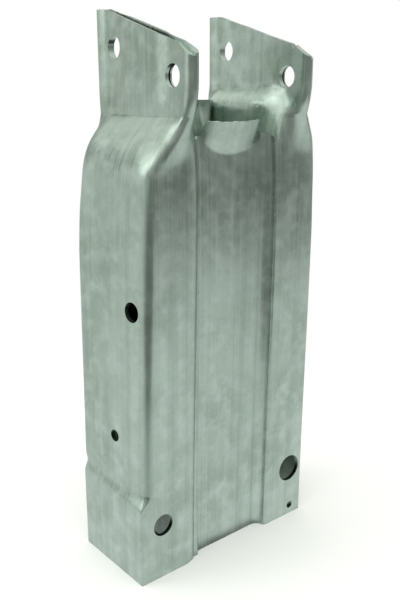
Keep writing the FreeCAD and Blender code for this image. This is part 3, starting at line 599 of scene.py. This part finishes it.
def combine(base, others, operation):
    # exact boolean of one mesh with a group of others, which are then deleted
    group = bpy.data.collections.new("operands")
    for other in others:
        group.objects.link(other)
    modifier = base.modifiers.new(operation, "BOOLEAN")
    modifier.operation = operation
    modifier.solver = "EXACT"
    modifier.operand_type = "COLLECTION"
    modifier.collection = group
    settle(base)
    for other in others:
        bpy.data.objects.remove(other)
    bpy.data.collections.remove(group)
    return base


def makeBracket(finish):
    metal = makeChamber("left")
    combine(metal, [makeChamber("right"), makePanel(-1, "frontPanel"), makePanel(1, "backPanel")], "UNION")
    print("metal joined", len(metal.data.polygons))
    drillTree = makeDrillTree()
    cutters = [makeChamberSpace("left"), makeChamberSpace("right")] + makeTopCutters()
    cutters += [makeDrills(drillTree, name, given, finish) for name, given in holes.items()]
    combine(metal, cutters, "DIFFERENCE")
    print("spaces cut", len(metal.data.polygons))
    metal.name = metal.data.name = "pressedBracket"
    metal.data.materials.clear()
    metal.data.materials.append(finish)
    for face in metal.data.polygons:
        face.material_index = 0
    metal.data.shade_smooth()
    metal.data.set_sharp_from_angle(angle=math.radians(profile["sharpAngle"]))
    return metal


# Metal

millAluminium = {
    # the dark specks' colour also tints the painted shade band along the front corner
    "base": "#98A89C", "stainAndShade": "#77877D",
    # each pattern's real size in millimetres, its noise's detail and roughness, and how it lies
    "patterns": {
        "dieLines": (1.3, 3.0, 0.6, "drawn"),             # real ones are finer, and drawn this wide to show
        "dieBands": (9.0, 3.0, 0.55, "drawn"),
        "clouds": (34.0, 4.0, 0.55, "even"),
        "smudges": (9.0, 4.0, 0.6, "even"),
        "scuffs": (5.0, 6.0, 0.7, "slanted"),
        "waves": (26.0, 2.0, 0.5, "even"),
    },
    # colours laid over the base: where a pattern begins and ends to show, how strongly, and its colour
    "layers": [
        ("clouds", 0.36, 0.64, 1.0, "#AABBB0"),
        ("smudges", 0.45, 0.72, 0.75, "#BFCFC6"),
        ("dieBands", 0.42, 0.68, 0.35, "#77877D"),
        ("dieLines", 0.5, 0.75, 0.4, "#BFCFC6"),
        ("scuffs", 0.66, 0.74, 0.6, "#D3DFDA"),
    ],
    "bumpsMm": [("dieLines", 0.025), ("dieBands", 0.07), ("waves", 0.22)],
    "lineStretch": 1.3 / 110.0,                           # a die line's width over its length
    "slant": (0.5, 0.35, 0.2), "slantStretch": (1.0, 1.0, 0.09),
    "speckMm": 7.0, "speckFrom": 0.86, "speckEdge": (0.05, 0.12), "speckStrength": 0.7,
    # where a pattern begins and ends to count, and the roughness that it adds there
    "shine": [("smudges", (0.3, 0.7, 0.25, 0.39)), ("dieLines", (0.4, 0.7, -0.03, 0.05))],
    # the line of the front corner's painted shade band, its half width and height, in metres as the
    # coordinates are
    "cornerLine": (-0.0607, -0.0287), "cornerLean": 0.0228, "cornerHalf": 0.0042, "cornerPaintedShade": 0.62,
    "cornerStart": (0.05, 0.056), "cornerEnd": (0.19, 0.235),
}


def makeMillAluminium():
    # mill-finish aluminium extrusion: bare and uncoated, with fine die lines along its length that blur
    # what it reflects sideways, grey-green clouds of handling, and light scuffs and dark specks
    given = millAluminium
    material = bpy.data.materials.new("millAluminium")
    material.use_nodes = True
    tree = material.node_tree
    tree.nodes.clear()
    coordinates = addNode(tree, "ShaderNodeTexCoord").outputs
    place = coordinates["Object"]

    # the die lines run up each face and bend with it, so only the place across the face counts
    facing = addNode(tree, "ShaderNodeVectorMath", {"operation": "ABSOLUTE"}, {0: coordinates["Normal"]})
    facing = addNode(tree, "ShaderNodeSeparateXYZ", {}, {"Vector": facing.outputs[0]}).outputs
    axes = addNode(tree, "ShaderNodeSeparateXYZ", {}, {"Vector": place}).outputs
    onSide = addNode(tree, "ShaderNodeMath", {"operation": "GREATER_THAN"}, {0: facing["X"], 1: facing["Y"]})
    across = addNode(tree, "ShaderNodeMix", {"data_type": "FLOAT"},
                     {0: onSide.outputs[0], 2: axes["X"], 3: axes["Y"]})
    squashed = addNode(tree, "ShaderNodeMath", {"operation": "MULTIPLY", 1: given["lineStretch"]},
                       {0: axes["Z"]})
    drawn = addNode(tree, "ShaderNodeCombineXYZ", {},
                    {"X": across.outputs[0], "Y": onSide.outputs[0], "Z": squashed.outputs[0]})
    slanted = addNode(tree, "ShaderNodeMapping", {"Rotation": given["slant"], "Scale": given["slantStretch"]},
                      {"Vector": place})
    lies = {"drawn": drawn.outputs[0], "slanted": slanted.outputs[0], "even": place}
    patterns = {}
    for name, (sizeMm, detail, roughness, way) in given["patterns"].items():
        noise = addNode(tree, "ShaderNodeTexNoise",
                        {"Scale": 1.0 / (sizeMm * scaleToMetres), "Detail": detail, "Roughness": roughness},
                        {"Vector": lies[way]})
        patterns[name] = noise.outputs["Fac"]

    # colour: the layers, then a few dark specks, then painted shade along the front corner
    amounts = []
    for name, begins, ends, strength, colour in given["layers"]:
        amount = addNode(tree, "ShaderNodeMapRange",
                         {"From Min": begins, "From Max": ends, "To Min": 0.0, "To Max": strength},
                         {"Value": patterns[name]})
        amounts.append((amount.outputs[0], colour))
    specks = addNode(tree, "ShaderNodeTexVoronoi", {"Scale": 1.0 / (given["speckMm"] * scaleToMetres)},
                     {"Vector": place}).outputs
    chosen = addNode(tree, "ShaderNodeMath", {"operation": "GREATER_THAN", 1: given["speckFrom"]},
                     {0: specks["Color"]})
    spot = addNode(tree, "ShaderNodeMapRange",
                   {"From Min": given["speckEdge"][0], "From Max": given["speckEdge"][1],
                    "To Min": given["speckStrength"], "To Max": 0.0}, {"Value": specks["Distance"]})
    spot = addNode(tree, "ShaderNodeMath", {"operation": "MULTIPLY"},
                   {0: spot.outputs[0], 1: chosen.outputs[0]})
    amounts.append((spot.outputs[0], given["stainAndShade"]))

    # painted shade: the pressed front corner is darker, in a band from above the foot up to the shoulder
    (lineX, lineY), lean = given["cornerLine"], given["cornerLean"]
    leaning = addNode(tree, "ShaderNodeMath", {"operation": "MULTIPLY_ADD", 1: lean, 2: lineX},
                      {0: axes["Z"]})
    beside = addNode(tree, "ShaderNodeMath", {"operation": "SUBTRACT"}, {0: axes["X"], 1: leaning.outputs[0]})
    behind = addNode(tree, "ShaderNodeMath", {"operation": "SUBTRACT", 1: lineY}, {0: axes["Y"]})
    fromLine = addNode(tree, "ShaderNodeCombineXYZ", {}, {"X": beside.outputs[0], "Y": behind.outputs[0]})
    reach = addNode(tree, "ShaderNodeVectorMath", {"operation": "LENGTH"}, {0: fromLine.outputs[0]})
    cornerShade = addNode(tree, "ShaderNodeMapRange",
                   {"From Min": 0.0, "From Max": given["cornerHalf"],
                    "To Min": given["cornerPaintedShade"], "To Max": 0.0}, {"Value": reach.outputs["Value"]})
    cornerShade = addNode(tree, "ShaderNodeMapRange",
                   {"From Min": given["cornerStart"][0], "From Max": given["cornerStart"][1], "To Min": 0.0},
                   {"Value": axes["Z"], "To Max": cornerShade.outputs[0]})
    cornerShade = addNode(tree, "ShaderNodeMapRange",
                   {"From Min": given["cornerEnd"][0], "From Max": given["cornerEnd"][1], "To Max": 0.0},
                   {"Value": axes["Z"], "To Min": cornerShade.outputs[0]})
    # the painted shade band along the corner, in the specks' dark colour
    amounts.append((cornerShade.outputs[0], given["stainAndShade"]))

    tone = None
    for amount, colour in amounts:
        below = {6: tone} if tone else {}
        tone = addNode(tree, "ShaderNodeMix",
                       {"data_type": "RGBA", 6: toLinear(given["base"]), 7: toLinear(colour)},
                       {0: amount, **below}).outputs[2]

    # shine and relief
    shares = []
    for name, (low, high, start, end) in given["shine"]:
        share = addNode(tree, "ShaderNodeMapRange",
                        {"From Min": low, "From Max": high, "To Min": start, "To Max": end},
                        {"Value": patterns[name]})
        shares.append(share.outputs[0])
    shine = addNode(tree, "ShaderNodeMath", {"operation": "ADD"}, {0: shares[0], 1: shares[1]})
    relief = {}
    for name, heightMm in given["bumpsMm"]:
        bump = addNode(tree, "ShaderNodeBump", {"Strength": 1.0, "Distance": heightMm * scaleToMetres},
                       {"Height": patterns[name], **relief})
        relief = {"Normal": bump.outputs[0]}
    shader = addNode(tree, "ShaderNodeBsdfPrincipled", {"Metallic": 1.0},
                     {"Base Color": tone, "Roughness": shine.outputs[0], **relief})
    addNode(tree, "ShaderNodeOutputMaterial", {}, {"Surface": shader.outputs["BSDF"]})
    return material


bracket = makeBracket(makeMillAluminium())
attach(bracket, "root")
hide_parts("bracket_profile")
print("bracket dressed")


# Floor, light and camera

studio = {
    "floor": "#EEF0EE", "floorRadius": 0.8, "floorSides": 96, "paperRoughness": 0.9,
    "shadowSpan": (0.17, 0.42),                           # metres from the foot over which paper turns white
    "underFoot": 0.33, "footHalf": (0.065, 0.0295, 0.0), "footEdge": (-0.004, 0.001),
    "darkWay": (-0.77, -0.64, 0.0), "paperEnd": (0.24, 0.36), "pastPaper": 0.3,
    "tent": "#FFFFFA", "overhead": 1.2, "middle": 0.35, "horizon": 0.1, "brightSide": 0.8,
    "brightWay": (0.1, 0.995, 0.0), "sideFade": (-0.62, 0.25),
    "horizonFade": (0.0, 0.2), "overheadFade": (0.35, 0.7), "shownInMetal": 0.25,
    "top": {"place": (-0.15, -0.1, 1.15), "target": (0.0, 0.0, 0.2), "size": (0.9, 0.9), "power": 6.0},
    "left": {"place": (-1.0, 0.55, 0.75), "target": (0.0, 0.0, 0.2), "size": (0.5, 0.8), "power": 2.5},
}


def makeFloor():
    # pale paper: white to the eye past the object's shadow, and white in what the metal reflects
    given, count, radius = studio, studio["floorSides"], studio["floorRadius"] / scaleToMetres
    turns = [2 * math.pi * k / count for k in range(count)]
    ring = [(radius * math.cos(turn), radius * math.sin(turn), 0.0) for turn in turns]
    floor = newPiece("floor", ring, [tuple(range(count))])
    material = bpy.data.materials.new("matPaper")
    material.use_nodes = True
    tree = material.node_tree
    tree.nodes.clear()
    place = addNode(tree, "ShaderNodeTexCoord").outputs["Object"]
    distance = addNode(tree, "ShaderNodeVectorMath", {"operation": "LENGTH"}, {0: place}).outputs["Value"]
    away = addNode(tree, "ShaderNodeMapRange",
                   {"interpolation_type": "SMOOTHSTEP", "From Min": given["shadowSpan"][0],
                    "From Max": given["shadowSpan"][1]}, {"Value": distance}).outputs[0]
    rays = addNode(tree, "ShaderNodeLightPath").outputs
    seen = addNode(tree, "ShaderNodeMath", {"operation": "MULTIPLY"},
                   {0: rays["Is Camera Ray"], 1: away}).outputs[0]
    for name in ("Is Glossy Ray", "Is Transmission Ray"):
        seen = addNode(tree, "ShaderNodeMath", {"operation": "MAXIMUM"}, {0: seen, 1: rays[name]}).outputs[0]
    paper = addNode(tree, "ShaderNodeBsdfPrincipled",
                    {"Base Color": toLinear(given["floor"]), "Roughness": given["paperRoughness"]})

    # what the metal shows of the floor: shade under the foot, and the paper's near edge
    size = addNode(tree, "ShaderNodeVectorMath", {"operation": "ABSOLUTE"}, {0: place})
    past = addNode(tree, "ShaderNodeVectorMath", {"operation": "SUBTRACT", 1: given["footHalf"]},
                   {0: size.outputs[0]})
    past = addNode(tree, "ShaderNodeSeparateXYZ", {}, {"Vector": past.outputs[0]}).outputs
    outside = addNode(tree, "ShaderNodeMath", {"operation": "MAXIMUM"}, {0: past["X"], 1: past["Y"]})
    lit = addNode(tree, "ShaderNodeMapRange",
                  {"From Min": given["footEdge"][0], "From Max": given["footEdge"][1],
                   "To Min": given["underFoot"], "To Max": 1.0}, {"Value": outside.outputs[0]})
    near = addNode(tree, "ShaderNodeVectorMath", {"operation": "DOT_PRODUCT", 1: given["darkWay"]},
                   {0: place})
    ended = addNode(tree, "ShaderNodeMapRange",
                    {"interpolation_type": "SMOOTHSTEP", "From Min": given["paperEnd"][0],
                     "From Max": given["paperEnd"][1], "To Min": 1.0, "To Max": given["pastPaper"]},
                    {"Value": near.outputs["Value"]})
    shown = addNode(tree, "ShaderNodeMath", {"operation": "MULTIPLY"},
                    {0: lit.outputs[0], 1: ended.outputs[0]})
    level = addNode(tree, "ShaderNodeMix", {"data_type": "FLOAT", 2: 1.0},
                    {0: rays["Is Glossy Ray"], 3: shown.outputs[0]})
    white = addNode(tree, "ShaderNodeEmission", {}, {"Strength": level.outputs[0]})
    mix = addNode(tree, "ShaderNodeMixShader", {}, {"Fac": seen, 1: paper.outputs[0], 2: white.outputs[0]})
    addNode(tree, "ShaderNodeOutputMaterial", {}, {"Surface": mix.outputs[0]})
    floor.data.materials.append(material)


def makeWorld():
    # a soft tent, bright above and on one side and dim along the horizon, before a white background
    given, world = studio, bpy.data.worlds.new("studio")
    bpy.context.scene.world = world
    world.use_nodes = True
    tree = world.node_tree
    tree.nodes.clear()
    way = addNode(tree, "ShaderNodeTexCoord").outputs["Generated"]
    height = addNode(tree, "ShaderNodeSeparateXYZ", {}, {"Vector": way}).outputs["Z"]
    toSide = addNode(tree, "ShaderNodeVectorMath", {"operation": "DOT_PRODUCT", 1: given["brightWay"]},
                     {0: way})
    level = addNode(tree, "ShaderNodeMapRange",
                    {"interpolation_type": "SMOOTHSTEP",
                     "From Min": given["sideFade"][0], "From Max": given["sideFade"][1],
                     "To Min": given["horizon"], "To Max": given["brightSide"]},
                    {"Value": toSide.outputs["Value"]}).outputs[0]
    for (begins, ends), strength in ((given["horizonFade"], given["middle"]),
                                     (given["overheadFade"], given["overhead"])):
        raised = addNode(tree, "ShaderNodeMapRange",
                         {"interpolation_type": "SMOOTHSTEP", "From Min": begins, "From Max": ends},
                         {"Value": height})
        level = addNode(tree, "ShaderNodeMix", {"data_type": "FLOAT", 3: strength},
                        {0: raised.outputs[0], 2: level}).outputs[0]
    rays = addNode(tree, "ShaderNodeLightPath").outputs
    inMetal = addNode(tree, "ShaderNodeMath", {"operation": "MULTIPLY", 1: given["shownInMetal"]},
                      {0: rays["Is Glossy Ray"]})
    seen = rays["Is Camera Ray"]
    for other in (inMetal.outputs[0], rays["Is Transmission Ray"]):
        seen = addNode(tree, "ShaderNodeMath", {"operation": "MAXIMUM"}, {0: seen, 1: other}).outputs[0]
    tent = addNode(tree, "ShaderNodeBackground", {"Color": toLinear(given["tent"])}, {"Strength": level})
    white = addNode(tree, "ShaderNodeBackground", {"Color": (1.0, 1.0, 1.0, 1.0), "Strength": 1.0})
    mix = addNode(tree, "ShaderNodeMixShader", {}, {"Fac": seen, 1: tent.outputs[0], 2: white.outputs[0]})
    addNode(tree, "ShaderNodeOutputWorld", {}, {"Surface": mix.outputs[0]})


def addLamp(name, given):
    data = bpy.data.lights.new(name, "AREA")
    data.energy = given["power"]
    data.shape = "RECTANGLE"
    data.size, data.size_y = given["size"]
    lamp = bpy.data.objects.new(name, data)
    lamp.location = given["place"]
    aim = Vector(given["target"]) - Vector(given["place"])
    lamp.rotation_euler = aim.to_track_quat("-Z", "Y").to_euler()
    bpy.context.scene.collection.objects.link(lamp)


camera = {"place": (-0.2738, -0.3306, 0.2761), "pitch": 16.168, "yaw": 39.852,
          "lens": 45.0, "sensor": 36.0, "nearest": 0.01}


def makeCamera():
    data = bpy.data.cameras.new("camera")
    data.lens, data.sensor_width = camera["lens"], camera["sensor"]
    data.clip_start = camera["nearest"]
    eye = bpy.data.objects.new("camera", data)
    eye.location = camera["place"]
    turn = (math.radians(90 - camera["pitch"]), 0.0, math.radians(-camera["yaw"]))
    eye.rotation_euler = Euler(turn, "XYZ")
    bpy.context.scene.collection.objects.link(eye)
    bpy.context.scene.camera = eye


makeFloor()
makeWorld()
addLamp("topSoftbox", studio["top"])
addLamp("leftSoftbox", studio["left"])
makeCamera()
bpy.context.scene.view_settings.view_transform = "Standard"
print("stage set")
